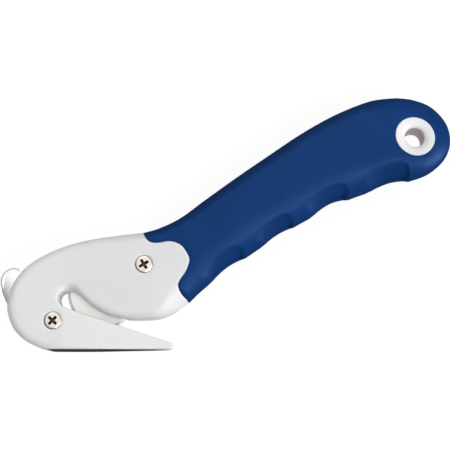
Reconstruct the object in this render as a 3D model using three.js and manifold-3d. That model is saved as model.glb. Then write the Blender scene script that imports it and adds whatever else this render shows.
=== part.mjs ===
// Hooked safety cutter: a hand knife that slits film, tape and strapping with a guarded round blade.
//
// Two white moulded shells meet on a flat parting plane. Together they are the hooked head, the hollow core
// of the handle and the hanging eye at its tail. Each shell carries its own soft blue grip half. A round
// blade on a hub sits between the shells and crosses the throat of the hook, and a steel tape splitter
// stands out of the nose. Two cross-recess screws and two brass inserts hold the head together, so the
// blade can be turned to a fresh edge or changed.
//
// The knife lies on its side: X runs along the sole of the hook, Y up its back, Z through its thickness, with
// the screw heads on top. All shapes are drawn from a datum where the sole meets the nose, on the parting
// plane, and the finished group is moved so that its bounding box stands centred on the origin.

import * as THREE from "three";
import { mergeVertices } from "three/addons/utils/BufferGeometryUtils.js";
import Module from "manifold-3d";

const wasm = await Module();
wasm.setup();

// ---------------------------------------------------------------- driving dimensions, in millimetres

const HEAD_HALF = 6.5; // half thickness of the head at the nose
const GRIP_HALF = 9.2; // half thickness of the grip
const TAIL_SLOPE = 0.23; // how fast the two faces close in towards the tail
const JAW_TIP_HALF = 3.5; // half thickness at the tip of the lower jaw
const HEAD_ROUND = 3.5; // edge rounding of the head
const GRIP_ROUND = 8.5; // edge rounding of the grip
const BELLY_ROUND = 6.0; // edge rounding over the throat
const SHARP_ROUND = 0.8; // edge rounding of the jaw's guide edge
const PARTING_GAP = 0.1; // seam between the two shells
const FIT_GAP = 0.3; // gap between pieces that are cut by each other
const SKIN = 2.8; // depth of the core below the outside of the grip
const CORE_WALL = 2.0; // wall of the hollow core

const BLADE_CENTRE = new THREE.Vector2(36.5, 22.8);
const BLADE_RADIUS = 14;
const BLADE_THICKNESS = 0.4;
const BLADE_BORE = 3.8;
const BLADE_BEVEL = 1.1;
const HUB_RADIUS = 3.7;
const HUB_HALF_LENGTH = 3.4;
const WASHER = { inner: 4.0, outer: 6.0, bottom: 0.3, top: 0.8 };

const EYE_CENTRE = new THREE.Vector2(157.7, 83.3);
const EYE_BORE = 3.9;
const EYE_MOUTH = 7.4;
const EYE_BOSS = 7.9;

const NOSE_SCREW = new THREE.Vector2(18.0, 11.2);
const BACK_SCREW = new THREE.Vector2(52.3, 32.6);
const SCREW = { headRadius: 3.4, headHeight: 1.9, shankRadius: 1.5, recess: 0.35 };
const INSERT = { outer: 2.3, bore: 1.65, top: -0.6, bottom: -5.0 };

const ROUND_STEPS = 16; // facets of small round features
const EDGE_STEPS = 3; // facets of an edge rounding

// ---------------------------------------------------------------- small helpers

const vec = (x, y) => new THREE.Vector2(x, y);
const smooth = THREE.MathUtils.smoothstep;
const mix = THREE.MathUtils.lerp;

function spline(coordinates, count) {
  const curve = new THREE.SplineCurve(coordinates.map(([x, y]) => vec(x, y)));
  return curve.getSpacedPoints(count);
}

// A closed geometry as a solid that can be joined and cut.
function solid(geometry) {
  const bare = geometry.clone();
  bare.deleteAttribute("normal");
  bare.deleteAttribute("uv");
  const merged = mergeVertices(bare, 1e-4);
  return new wasm.Manifold(
    new wasm.Mesh({
      numProp: 3,
      vertProperties: new Float32Array(merged.attributes.position.array),
      triVerts: new Uint32Array(merged.index.array),
    }),
  );
}

function geometryOf(manifold) {
  const mesh = manifold.getMesh();
  const geometry = new THREE.BufferGeometry();
  geometry.setAttribute("position", new THREE.BufferAttribute(new Float32Array(mesh.vertProperties), 3));
  geometry.setIndex(new THREE.BufferAttribute(new Uint32Array(mesh.triVerts), 1));
  const flat = geometry.toNonIndexed();
  flat.computeVertexNormals();
  return flat;
}

// The same geometry on the other side of the parting plane.
function mirrored(geometry) {
  const copy = geometry.index ? geometry.toNonIndexed() : geometry.clone();
  const position = copy.getAttribute("position");
  for (let i = 0; i < position.count; i += 3) {
    const corners = [0, 2, 1].map((k) => new THREE.Vector3().fromBufferAttribute(position, i + k));
    corners.forEach((corner, k) => position.setXYZ(i + k, corner.x, corner.y, -corner.z));
  }
  copy.computeVertexNormals();
  return copy;
}

// A body turned about an axis along Z through a point. The profile holds [radius, height] pairs.
function turned(profile, centre, steps = ROUND_STEPS) {
  const points = profile.map(([radius, height]) => vec(radius, height));
  const geometry = new THREE.LatheGeometry(points, steps);
  return geometry.rotateX(Math.PI / 2).translate(centre.x, centre.y, 0);
}

const disc = (radius, bottom, top, centre, steps) =>
  turned([[0, bottom], [radius, bottom], [radius, top], [0, top]], centre, steps);

const ring = (inner, outer, bottom, top, centre, steps) =>
  turned([[inner, bottom], [outer, bottom], [outer, top], [inner, top], [inner, bottom]], centre, steps);

function prism(outline, bottom, top) {
  const options = { depth: top - bottom, bevelEnabled: false };
  return new THREE.ExtrudeGeometry(new THREE.Shape(outline), options).translate(0, 0, bottom);
}

// ---------------------------------------------------------------- outline of the knife

// How far a point lies beyond the hanging eye, towards the tail.
const TAIL_AXIS = new THREE.Vector2(0.8, 0.6);
const beyondEye = (point) => point.clone().sub(EYE_CENTRE).dot(TAIL_AXIS);
const SLOPE_START = -10; // the faces are parallel up to here

// Half thickness of the body at a point.
function halfThickness(point) {
  const towardsGrip = mix(HEAD_HALF, GRIP_HALF, smooth(point.x, 15, 85));
  return towardsGrip - TAIL_SLOPE * Math.max(0, beyondEye(point) - SLOPE_START);
}

// The hook's lower jaw thins towards its tip.
const jawHalf = (point) => mix(HEAD_HALF, JAW_TIP_HALF, THREE.MathUtils.clamp((point.x - 22) / 40, 0, 1));

const SOLE_END = [61.8, 0];
const JAW_TIP = [[63, 0.3], [63.5, 1.2], [63.1, 2.3]];
const JAW_EDGE_END = [61.8, 3.3];
const JAW_EDGE_START = [25, 15.3];
const THROAT_END = [
  [25, 15.3], [22, 16.3], [20, 18], [19.3, 20.2], [20.2, 22], [22.6, 22.8], [25.4, 22.3], [28, 20.7],
];
const BELLY = [
  [28, 20.7], [31.5, 17.6], [34.3, 15.8], [37, 14.4], [40, 13.2], [43.5, 12.4], [48, 12.1], [54, 12.1],
  [58.5, 12.5], [62.3, 13.7], [65.3, 15.5], [69.9, 19],
];
const RIDGES = [[69.9, 19], [90.8, 35.7], [112, 49], [131.8, 59.2], [155.8, 66.6]];
const GROOVE_DEPTHS = [1.2, 0.85, 1.5, 1.2];
const TAIL = [
  [155.8, 66.6], [163.4, 69.5], [169.8, 75.2], [172.5, 82.3], [171.1, 90], [165.4, 96.6], [158.3, 99.6],
  [151.8, 100.4],
];
const SPINE = [
  [151.8, 100.4], [145.2, 99.8], [138.6, 98.2], [125.8, 92.7], [113, 85.3], [100.4, 76.7], [87.8, 67.9],
  [75, 58.5], [66, 51.7], [58, 47.6], [51.7, 45.7],
];
const BACK = [
  [51.7, 45.7], [44, 44.8], [32, 42.9], [22, 40.2], [13.5, 36.5], [7, 32.1], [3.2, 27.8], [0.8, 22.8],
];
const NOSE = [
  [0.8, 22.8], [0, 17.3], [0.3, 14.2], [1.2, 11.3], [2.6, 8.5], [4.6, 6], [7.8, 3.4], [12.5, 1.2],
  [17.5, 0],
];

// One finger groove between two ridges: deepest two thirds of the way towards the tail.
function fingerGroove(from, to, depth, count) {
  const [start, end] = [vec(...from), vec(...to)];
  const along = end.clone().sub(start);
  const inward = vec(-along.y, along.x).normalize();
  return Array.from({ length: count }, (_, i) => {
    const t = i / count;
    const sink = depth * Math.sin(Math.PI * Math.pow(t, 1.6));
    return start.clone().addScaledVector(along, t).addScaledVector(inward, sink);
  });
}

// A stretch of rim: its points, how wide and how high its edge is rounded, and its half thickness.
function stretch(points, width, half, depth = width) {
  return points.map((point, i) => {
    const share = i / Math.max(1, points.length - 1);
    const across = typeof width === "function" ? width(share) : width;
    const down = typeof depth === "function" ? depth(share) : depth;
    return { point, width: across, depth: down, half };
  });
}

// The rim of the knife, counter-clockwise from the sole.
function knifeRim() {
  const soleRound = (share) => mix(HEAD_ROUND, 1.0, share);
  const throatRound = (share) => mix(SHARP_ROUND, BELLY_ROUND, smooth(share, 0.35, 0.8));
  const bellyRound = (share) => mix(BELLY_ROUND, GRIP_ROUND, smooth(share, 0.7, 1));
  const spineRound = (share) => mix(GRIP_ROUND, HEAD_ROUND + 2, smooth(share, 0.75, 1));
  const backRound = (share) => mix(HEAD_ROUND + 2, HEAD_ROUND, smooth(share, 0, 0.3));
  const full = () => GRIP_HALF;
  const open = (points) => points.slice(0, -1);
  const sole = [0, 0.33, 0.66, 1].map((t) => vec(mix(NOSE.at(-1)[0], SOLE_END[0], t), 0));
  const jawEdge = [0, 0.33, 0.66].map((t) => vec(...JAW_EDGE_END).lerp(vec(...JAW_EDGE_START), t));
  const grooves = GROOVE_DEPTHS.flatMap((depth, i) => fingerGroove(RIDGES[i], RIDGES[i + 1], depth, 7));
  return {
    sole: stretch(sole, soleRound, jawHalf),
    tip: stretch(JAW_TIP.map(([x, y]) => vec(x, y)), 0.7, jawHalf),
    jawEdge: stretch(jawEdge, SHARP_ROUND, jawHalf),
    throatEnd: stretch(open(spline(THROAT_END, 12)), throatRound, halfThickness),
    belly: stretch(open(spline(BELLY, 16)), bellyRound, halfThickness, full),
    fingers: stretch(grooves, GRIP_ROUND, halfThickness, full),
    tail: stretch(open(spline(TAIL, 14)), GRIP_ROUND - 0.7, halfThickness, full),
    spine: stretch(open(spline(SPINE, 18)), spineRound, halfThickness, full),
    back: stretch(open(spline(BACK, 12)), backRound, halfThickness),
    nose: stretch(open(spline(NOSE, 11)), HEAD_ROUND, halfThickness),
  };
}

// For each rim point, the direction into the body, averaged over a stretch as long as the rounding is wide.
function inwardDirections(rim) {
  const edges = rim.map(({ point }, i) => {
    const next = rim[(i + 1) % rim.length].point;
    const along = next.clone().sub(point);
    return { middle: next.clone().add(point).multiplyScalar(0.5), normal: vec(-along.y, along.x) };
  });
  return rim.map(({ point, width }, i) => {
    const sum = vec(0, 0);
    edges.forEach((edge, j) => {
      const steps = Math.min((j - i + rim.length) % rim.length, (i - 1 - j + rim.length) % rim.length);
      const near = edge.middle.distanceTo(point) < width && steps < 6;
      if (near || steps === 0) sum.add(edge.normal);
    });
    return sum.normalize();
  });
}

// Splits a closed loop of corners in two along the chord where a stretch of it begins and ends.
function splitLoop(loop, beyond) {
  const start = loop.findIndex((corner, i) => beyond(corner) && !beyond(loop.at(i - 1)));
  const turned = [...loop.slice(start), ...loop.slice(0, start)];
  const count = turned.findIndex((corner) => !beyond(corner));
  return [turned.slice(0, count), [...turned.slice(count - 1), turned[0]]];
}

// A half body from the parting plane up: a wall on the rim, a quarter-round edge and flat faces.
function pillow(rim, bottom = PARTING_GAP / 2, steps = EDGE_STEPS) {
  const directions = inwardDirections(rim);
  const rings = [rim.map(({ point }) => [point.x, point.y, bottom])];
  for (let k = 0; k <= steps; k += 1) {
    const angle = (k / steps) * (Math.PI / 2);
    rings.push(
      rim.map(({ point, width, depth, half }, i) => {
        const moved = point.clone().addScaledVector(directions[i], width * (1 - Math.cos(angle)));
        const face = half(point.clone().addScaledVector(directions[i], width));
        const drop = Math.min(depth, face - 0.6) * (1 - Math.sin(angle));
        return [moved.x, moved.y, face - drop];
      }),
    );
  }
  const count = rim.length;
  const corner = rings.flat().map(([x, y]) => vec(x, y));
  const cap = (loop) =>
    THREE.ShapeUtils.triangulateShape(loop.map((i) => corner[i]), []).map((face) => face.map((i) => loop[i]));
  const ringLoop = (k) => rim.map((_, i) => k * count + i);
  const index = cap(ringLoop(0)).flatMap(([a, b, c]) => [a, c, b]);
  for (let k = 0; k + 1 < rings.length; k += 1) {
    for (let i = 0; i < count; i += 1) {
      const [a, b] = [k * count + i, k * count + ((i + 1) % count)];
      index.push(a, b, b + count, a, b + count, a + count);
    }
  }
  const [tailFace, rest] = splitLoop(ringLoop(rings.length - 1), (i) => beyondEye(corner[i]) > SLOPE_START);
  const [gripFace, headFace] = splitLoop(rest, (i) => corner[i].x > 84);
  index.push(...[tailFace, gripFace, headFace].flatMap(cap).flat());
  const geometry = new THREE.BufferGeometry();
  geometry.setAttribute("position", new THREE.Float32BufferAttribute(rings.flat(2), 3));
  geometry.setIndex(index);
  return geometry;
}

// ---------------------------------------------------------------- boundary between head and grip

const WAVE = [
  [49.8, 49.2], [51.3, 46], [53.7, 41.8], [57.2, 40.1], [62.2, 40.8], [66.4, 39.4], [69.1, 35.8],
  [69.7, 33.7], [68.4, 29.9], [66, 26.2], [65.5, 24], [66.7, 21.2], [69.1, 18.9], [71.6, 16.4],
];

// The wave moved sideways, towards the grip for a positive shift.
function waveLine(shift) {
  const points = spline(WAVE, 26);
  return points.map((point, i) => {
    const along = points[Math.min(i + 1, 26)].clone().sub(points[Math.max(i - 1, 0)]).normalize();
    return vec(point.x - along.y * shift, point.y + along.x * shift);
  });
}

const headCorners = [vec(-20, -10), vec(71.2, -10), ...waveLine(-FIT_GAP / 2).reverse(), vec(-20, 60)];
const gripEdge = waveLine(FIT_GAP / 2).reverse();
const gripCorners = [vec(71.8, -10), ...gripEdge, vec(40, 120), vec(200, 120), vec(200, -10)];
const headRegion = prism(headCorners, -1, 20);
const gripRegion = prism(gripCorners, -1, 20);

// ---------------------------------------------------------------- shells and grips

const rim = knifeRim();
const wholeRim = Object.values(rim).flat();
const body = solid(pillow(wholeRim));

// The hollow core of the handle, a step below the outside of the grip.
const CORE = [
  [57, 25.2], [67.6, 22.5], [88, 38.6], [109.3, 52.3], [130.2, 62.9], [154.6, 70.6], [163, 73.7],
  [167.8, 79.2], [167.6, 87.1], [162.4, 93.5], [152, 96.5], [139.6, 94.7], [127.3, 89.4], [102.2, 73.7],
  [77, 55.6], [66, 48.2], [57, 43.9],
];
const CLIP_POSTS = [vec(92, 54), vec(127, 77)];
const CLIP = { boss: 3.6, pin: 1.8, socket: 2.1, reach: 3.0 };
const SPIGOT = { inner: 5.2, outer: 6.3, reach: 1.8 };
const SPLITTER_PEG = vec(5.6, 24.6);

// Everything up to a face that slopes down over the tail like the outside does, at a height over the grip.
function underTailFace(height) {
  const [start, end] = [SLOPE_START, 30];
  const fall = TAIL_SLOPE * (end - start);
  const top = [vec(end, height - fall), vec(start, height), vec(-160, height)];
  const side = [vec(-160, -10), vec(end, -10), ...top];
  const wedge = prism(side, -80, 80).rotateX(Math.PI / 2).rotateZ(TAIL_AXIS.angle());
  return solid(wedge.translate(EYE_CENTRE.x, EYE_CENTRE.y, 0));
}

// The core grown by a distance, from a height up. Its edge is rounded.
function core(growth, bottom) {
  const half = GRIP_HALF - SKIN + growth;
  const round = 4.5;
  const geometry = new THREE.ExtrudeGeometry(new THREE.Shape(spline(CORE, 30)), {
    depth: 2 * (half - round),
    bevelThickness: round,
    bevelSize: round,
    bevelOffset: growth - round,
    bevelSegments: 2,
  });
  const above = prism([vec(50, 0), vec(200, 0), vec(200, 120), vec(50, 120)], bottom, 20);
  return solid(geometry.translate(0, 0, round - half)).intersect(solid(above)).intersect(underTailFace(half));
}

// The space inside one half of the core, around the clip posts and the hanging eye.
function hollow() {
  const posts = CLIP_POSTS.map((centre) => solid(disc(CLIP.boss, -1, 12, centre)));
  const eyeRing = solid(disc(EYE_BOSS + CORE_WALL, -1, 12, EYE_CENTRE));
  return [...posts, eyeRing].reduce((left, post) => left.subtract(post), core(-CORE_WALL, -0.9));
}

// The mouth of the hanging eye: a bore that opens in a rounded funnel from a height up to the sloping face.
function eyeMouth(start, radius) {
  const face = halfThickness(EYE_CENTRE);
  const steps = [1, 2, 3, 4].map((i) => i / 4);
  const funnel = steps.map((t) => [mix(EYE_BORE, radius, t ** 1.9), mix(start, face, 1 - (1 - t) ** 1.5)]);
  const profile = [[0, -1], [EYE_BORE, -1], [EYE_BORE, start], ...funnel, [radius, 2 * face], [0, 2 * face]];
  const geometry = turned(profile, EYE_CENTRE, 24);
  const position = geometry.getAttribute("position");
  for (let i = 0; i < position.count; i += 1) {
    const here = halfThickness(vec(position.getX(i), position.getY(i)));
    position.setZ(i, (position.getZ(i) * here) / face);
  }
  return solid(geometry);
}

// The outside of one shell: its half of the head, the core under the grip and the hanging eye.
function shellBlank(mouth) {
  const head = body.intersect(solid(headRegion));
  const eye = solid(disc(EYE_BOSS, PARTING_GAP / 2, 12, EYE_CENTRE, 24)).intersect(body);
  return head.add(core(0, PARTING_GAP / 2)).add(eye).subtract(hollow()).subtract(mouth);
}

// Pockets that both shells share: the blade's chamber, its washers, its hub and the tape splitter.
function sharedPockets() {
  return [
    disc(BLADE_RADIUS + 0.6, -1, 0.5, BLADE_CENTRE, 36),
    disc(WASHER.outer + 0.25, -1, WASHER.top + 0.1, BLADE_CENTRE),
    disc(HUB_RADIUS + 0.2, -1, HUB_HALF_LENGTH + 0.2, BLADE_CENTRE),
    prism(splitterOutline(0.2), -1, SPLITTER_HALF + 0.15),
  ].map(solid);
}

function frontShell() {
  const cuts = [
    ...[NOSE_SCREW, BACK_SCREW].flatMap((centre) => [
      disc(SCREW.headRadius + 0.35, screwSeat(centre), 12, centre, 20),
      disc(SCREW.shankRadius + 0.2, -1, 12, centre),
    ]),
    ...CLIP_POSTS.map((centre) => disc(CLIP.socket, -1, CLIP.reach + 0.4, centre)),
    ring(SPIGOT.inner - 0.2, SPIGOT.outer + 0.2, -1, SPIGOT.reach + 0.3, EYE_CENTRE, 20),
    disc(1.45, -1, 1.6, SPLITTER_PEG),
  ].map(solid);
  const blank = shellBlank(eyeMouth(4.4, EYE_MOUTH));
  return [...sharedPockets(), ...cuts].reduce((left, cut) => left.subtract(cut), blank);
}

function rearShell() {
  const mouth = eyeMouth(5.4, EYE_BORE + 0.6);
  const half = sharedPockets().reduce((left, cut) => left.subtract(cut), shellBlank(mouth));
  const blank = solid(mirrored(geometryOf(half)));
  const seat = -PARTING_GAP / 2;
  const pins = [
    ...CLIP_POSTS.map((centre) => disc(CLIP.pin, seat - 2, CLIP.reach, centre)),
    ring(SPIGOT.inner, SPIGOT.outer, seat - 1, SPIGOT.reach, EYE_CENTRE, 20),
    disc(1.25, -2, 1.3, SPLITTER_PEG),
  ].map(solid);
  const bore = INSERT.outer + 0.15;
  const holes = [NOSE_SCREW, BACK_SCREW].map((centre) => solid(disc(bore, INSERT.bottom - 0.4, 1, centre)));
  return holes.reduce((left, hole) => left.subtract(hole), pins.reduce((left, pin) => left.add(pin), blank));
}

function gripHalf() {
  const skin = body.intersect(solid(gripRegion));
  const eye = solid(disc(EYE_BOSS + FIT_GAP, -1, 12, EYE_CENTRE, 24));
  return geometryOf(skin.subtract(core(FIT_GAP, -0.9)).subtract(eye));
}

// ---------------------------------------------------------------- blade set

function roundBlade() {
  const [flat, edge] = [BLADE_THICKNESS / 2, 0.03];
  const shoulder = BLADE_RADIUS - BLADE_BEVEL;
  const lower = [[BLADE_BORE, -flat], [shoulder, -flat], [BLADE_RADIUS, -edge]];
  const upper = [[BLADE_RADIUS, edge], [shoulder, flat], [BLADE_BORE, flat]];
  return turned([...lower, ...upper, lower[0]], BLADE_CENTRE, 48);
}

function bladeHub() {
  const [end, chamfer, bore] = [HUB_HALF_LENGTH, 0.4, 1.5];
  const lower = [[bore, -end], [HUB_RADIUS - chamfer, -end], [HUB_RADIUS, chamfer - end]];
  const upper = [[HUB_RADIUS, end - chamfer], [HUB_RADIUS - chamfer, end], [bore, end]];
  return turned([...lower, ...upper, lower[0]], BLADE_CENTRE, 20);
}

const bladeWasher = () => ring(WASHER.inner, WASHER.outer, WASHER.bottom, WASHER.top, BLADE_CENTRE, 20);

// ---------------------------------------------------------------- tape splitter

const SPLITTER_HALF = 0.5;
const SPLITTER_TIP = { centre: vec(1.3, 26.5), radius: 5.2 };

// A fin with a round tip, whose root is held between the shells.
function splitterOutline(grow = 0) {
  const { centre, radius } = SPLITTER_TIP;
  const fin = Array.from({ length: 17 }, (_, i) => {
    const angle = THREE.MathUtils.degToRad(72 + i * 8.6);
    return vec(centre.x + (radius + grow) * Math.cos(angle), centre.y + (radius + grow) * Math.sin(angle));
  });
  const root = [[-0.4, 17.8], [2.6, 16.9], [7.6, 18.8], [9.6, 23.5], [8.4, 28.6]];
  const middle = vec(4, 24);
  return [...fin, ...root.map(([x, y]) => {
    const corner = vec(x, y);
    return corner.addScaledVector(corner.clone().sub(middle).normalize(), grow);
  })];
}

function tapeSplitter() {
  const shape = new THREE.Shape(splitterOutline());
  shape.holes.push(new THREE.Path().absarc(SPLITTER_PEG.x, SPLITTER_PEG.y, 1.6, 0, 2 * Math.PI, true));
  const bevel = 0.3;
  const options = {
    depth: 2 * (SPLITTER_HALF - bevel),
    bevelThickness: bevel,
    bevelSize: bevel,
    bevelOffset: -bevel,
    bevelSegments: 1,
    curveSegments: 10,
  };
  return new THREE.ExtrudeGeometry(shape, options).translate(0, 0, bevel - SPLITTER_HALF);
}

// ---------------------------------------------------------------- fasteners

// Height of the seat under a screw's head, so that the head ends just below the face of the shell.
const screwSeat = (centre) => halfThickness(centre) - SCREW.recess - SCREW.headHeight;

function headScrew(centre, turn) {
  const seat = screwSeat(centre) + 0.05;
  const crown = seat + SCREW.headHeight;
  const { headRadius: head, shankRadius: shank } = SCREW;
  const tip = INSERT.bottom + 0.4;
  const shankProfile = [[0, tip], [shank - 0.5, tip], [shank, tip + 0.6], [shank, seat]];
  const rimProfile = [[head, seat], [head, seat + 0.8], [head - 0.35, crown - 0.45]];
  const crownProfile = [[head - 1.2, crown - 0.1], [0, crown]];
  const blank = solid(turned([...shankProfile, ...rimProfile, ...crownProfile], centre, 18));
  const arm = (angle) => {
    const slot = new THREE.CylinderGeometry(2.9, 1.5, 1.5, 4, 1).rotateY(Math.PI / 4).scale(1, 1, 0.24);
    slot.rotateX(Math.PI / 2).rotateZ(angle);
    return solid(slot.translate(centre.x, centre.y, crown - 0.6));
  };
  return geometryOf(blank.subtract(arm(turn)).subtract(arm(turn + Math.PI / 2)));
}

const brassInsert = (centre) => ring(INSERT.bore, INSERT.outer, INSERT.bottom, INSERT.top, centre);

// ---------------------------------------------------------------- materials and assembly

function material(color, roughness, metalness = 0) {
  return new THREE.MeshStandardMaterial({ color, roughness, metalness });
}

const WHITE_PLASTIC = material(0xe4e4e6, 0.45);
const BLUE_RUBBER = material(0x17407c, 0.6);
const BLADE_STEEL = material(0xc4c8c0, 0.3, 1);
const BRIGHT_STEEL = material(0xe0e0dc, 0.2, 1);
const NICKEL = material(0xd8d4c8, 0.3, 1);
const BRASS = material(0xb88a3a, 0.4, 1);
const NYLON = material(0xf0ece0, 0.6);

const knife = new THREE.Group();
const turn = THREE.MathUtils.degToRad;

function add(name, geometry, finish) {
  const mesh = new THREE.Mesh(geometry, finish);
  mesh.name = name;
  knife.add(mesh);
}

const grip = gripHalf();
add("front_shell", geometryOf(frontShell()), WHITE_PLASTIC);
add("rear_shell", geometryOf(rearShell()), WHITE_PLASTIC);
add("front_grip", grip, BLUE_RUBBER);
add("rear_grip", mirrored(grip), BLUE_RUBBER);
add("round_blade", roundBlade(), BLADE_STEEL);
add("blade_hub", bladeHub(), NYLON);
add("front_blade_washer", bladeWasher(), NYLON);
add("rear_blade_washer", mirrored(bladeWasher()), NYLON);
add("tape_splitter", tapeSplitter(), BRIGHT_STEEL);
add("nose_screw", headScrew(NOSE_SCREW, turn(47)), NICKEL);
add("back_screw", headScrew(BACK_SCREW, turn(32)), NICKEL);
add("nose_insert", brassInsert(NOSE_SCREW), BRASS);
add("back_insert", brassInsert(BACK_SCREW), BRASS);

const box = new THREE.Box3().setFromObject(knife);
const middle = box.getCenter(new THREE.Vector3());
const assembly = new THREE.Group();
knife.position.set(-middle.x, -middle.y, -box.min.z);
assembly.add(knife);

export default assembly;
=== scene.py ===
"""Looks of the hooked safety cutter: head, grip, hanging eye, blade, tape splitter and screws.

Lengths are in millimetres until a mesh is made. The knife's own datum is where the sole of the hook meets the
nose, on the parting plane between the two halves: X runs along the sole, Y up the back, Z out of the face.
"""

import math

import bpy
import numpy as np
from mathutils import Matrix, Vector
from mathutils.geometry import delaunay_2d_cdt
from mathutils.kdtree import KDTree


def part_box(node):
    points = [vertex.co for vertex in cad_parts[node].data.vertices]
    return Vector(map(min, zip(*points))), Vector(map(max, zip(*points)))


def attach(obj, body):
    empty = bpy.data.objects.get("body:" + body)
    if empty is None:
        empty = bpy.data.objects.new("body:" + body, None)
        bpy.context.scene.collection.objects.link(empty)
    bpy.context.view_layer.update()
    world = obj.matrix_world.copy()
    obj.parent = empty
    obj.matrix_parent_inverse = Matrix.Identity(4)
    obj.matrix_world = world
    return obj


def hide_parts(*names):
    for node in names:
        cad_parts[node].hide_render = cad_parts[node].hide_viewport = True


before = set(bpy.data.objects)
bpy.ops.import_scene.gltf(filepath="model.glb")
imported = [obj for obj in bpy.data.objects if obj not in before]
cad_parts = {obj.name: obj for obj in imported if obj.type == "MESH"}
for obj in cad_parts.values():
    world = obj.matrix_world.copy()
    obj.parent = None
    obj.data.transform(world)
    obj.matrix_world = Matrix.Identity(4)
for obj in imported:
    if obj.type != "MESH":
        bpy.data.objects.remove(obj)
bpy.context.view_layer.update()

# ------------------------------------------------------------------ driving dimensions

MM = 0.001
HEAD_HALF = 6.5  # half thickness of the head at the nose
GRIP_HALF = 9.2  # half thickness of the grip
TAIL_SLOPE = 0.23  # how fast the face falls towards the tail
TAIL_AXIS = (0.8, 0.6)  # the way the handle runs at the hanging eye
SLOPE_START = -10.0  # where the slope begins, measured that way from the eye's centre
SLOPE_BLEND = 4.0  # how far the bend before the slope reaches to either side
JAW_TIP_HALF = 3.5  # half thickness at the tip of the lower jaw
JAW_START = 22.0  # where along X the lower jaw begins to taper
JAW_TAPER = 40.0  # length of that taper
HEAD_ROUND = 2.8  # edge rounding of the head
GRIP_ROUND = 7.0  # edge rounding of the grip's back
FINGER_ROUND = 14.0  # edge rounding of the grip's underside
SHARP_ROUND = 0.8  # edge rounding of the jaw's guide edge
SEAM = 0.05  # half gap of the parting seam
SEAM_EDGE = 0.25  # height at which the wall above the seam begins
LEAST_WALL = 0.02  # the least height of a half over its parting face
WAVE_GAP = 0.04  # half gap between head and grip

BLADE_CENTRE = (36.5, 22.8)
BLADE_RADIUS = 14.0
BLADE_BORE = 3.8
BLADE_HALF = 0.25  # half thickness of the blade
BLADE_BEVEL = 1.1  # width of the ground bevel
BLADE_LAND = 0.02  # half thickness that is left at the cutting edge
BLADE_ROOM = (0.5, 0.2)  # room round the blade and over its faces, in its chamber

EYE_CENTRE = (157.7, 83.3)
EYE_BORE = 3.9  # bore radius at the parting plane
EYE_BACK = 3.7  # bore radius at the rear face
EYE_FLOOR = 4.4  # height at which the front funnel begins
EYE_MOUTH = 7.6  # radius of the front funnel's mouth
EYE_RING = 7.9  # outer radius of the white ring
EYE_DROP = 0.25  # how far the ring lies below the face

NOSE_SCREW = (17.8, 11.2)
BACK_SCREW = (52.3, 32.6)
SCREW_HEAD = 3.35
SCREW_HOLE = 3.43
SCREW_CROWN = 0.25  # how far the head's middle stands over the face, and its edge lies below it
SCREW_DEPTH = 2.0  # how far the head's side reaches down from the face
CROSS = (2.1, 1.15)  # half length and width of the cross recess

SPLITTER_HALF = 0.5  # half thickness of the fin
SPLITTER_ROOM = 0.1  # room over its faces, in its slot
FIN_CENTRE = (1.6, 26.9)
FIN_RADIUS = 5.2

# The knife's datum in the frame, found from the blade.
blade_low, blade_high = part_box("round_blade")
blade_mid = (Vector(blade_low) + Vector(blade_high)) / 2 / MM
DATUM = blade_mid - Vector((*BLADE_CENTRE, 0))


def smoothstep(x, low, high):
    """0 below low, 1 above high, and a smooth rise between them."""
    t = np.clip((np.asarray(x, float) - low) / (high - low), 0, 1)
    return t * t * (3 - 2 * t)


def mix(a, b, t):
    """From a to b by the share t."""
    return a + (b - a) * t


# ------------------------------------------------------------------ the rim of the knife


def spline(points, step):
    """A smooth curve through the points, sampled about every step, without its last point."""
    p = np.array([points[0], *points, points[-1]], float)
    curve = []
    for a, b, c, d in zip(p, p[1:], p[2:], p[3:]):
        count = max(1, round(float(np.linalg.norm(c - b)) / step))
        second = 2 * a - 5 * b + 4 * c - d
        third = 3 * b - a - 3 * c + d
        for t in np.arange(count) / count:
            curve.append(0.5 * (2 * b + (c - a) * t + second * t**2 + third * t**3))
    return np.array(curve)


# The rim's stretches, counter-clockwise from the front end of the sole.
SOLE = [(17.5, 0), (30, 0), (45, 0.2), (61.8, 0.5)]
JAW_TIP = [(61.8, 0.5), (62.9, 0.8), (63.5, 1.5), (63.5, 2.3), (62.5, 3.1), (59.8, 4.0)]
JAW_EDGE = [(59.8, 4.0), (25, 15.3)]
THROAT = [(25, 15.3), (22.0, 16.3), (20.0, 18.0), (19.3, 20.2), (20.2, 22.0), (22.6, 22.8), (25.4, 22.3),
          (28, 20.7)]
BELLY = [(28, 20.7), (31.5, 17.6), (34.3, 15.8), (37, 14.4), (40, 13.2), (43.5, 12.4), (48, 12.1), (54, 12.1),
         (58.5, 12.5), (62.3, 13.7), (65.3, 15.5), (69.9, 19)]
UNDERSIDE = [(69.9, 19), (76.5, 25.1), (90.8, 35.7), (103, 43.8), (115.5, 51.2), (131.8, 59.2), (146, 64),
             (155.8, 66.6)]
TAIL = [(155.8, 66.6), (163.4, 69.5), (169.8, 75.2), (172.5, 82.3), (171.1, 90), (165.4, 96.6), (158.3, 99.6),
        (151.8, 100.4)]
SPINE = [(151.8, 100.4), (145.2, 99.8), (138.6, 98.2), (125.8, 92.7), (113, 85.3), (100.4, 76.7),
         (87.8, 67.9), (75, 58.5), (66, 51.7), (58, 47.6), (51.7, 45.7)]
BACK = [(51.7, 45.7), (44, 44.8), (32, 42.9), (22, 40.2), (13.5, 36.5), (7, 32.1), (3.2, 27.8), (0.8, 22.8)]
NOSE = [(0.8, 22.8), (0, 17.3), (0.3, 14.2), (1.2, 11.3), (2.6, 8.5), (4.6, 6), (7.8, 3.4), (12.5, 1.2),
        (17.5, 0)]

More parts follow.
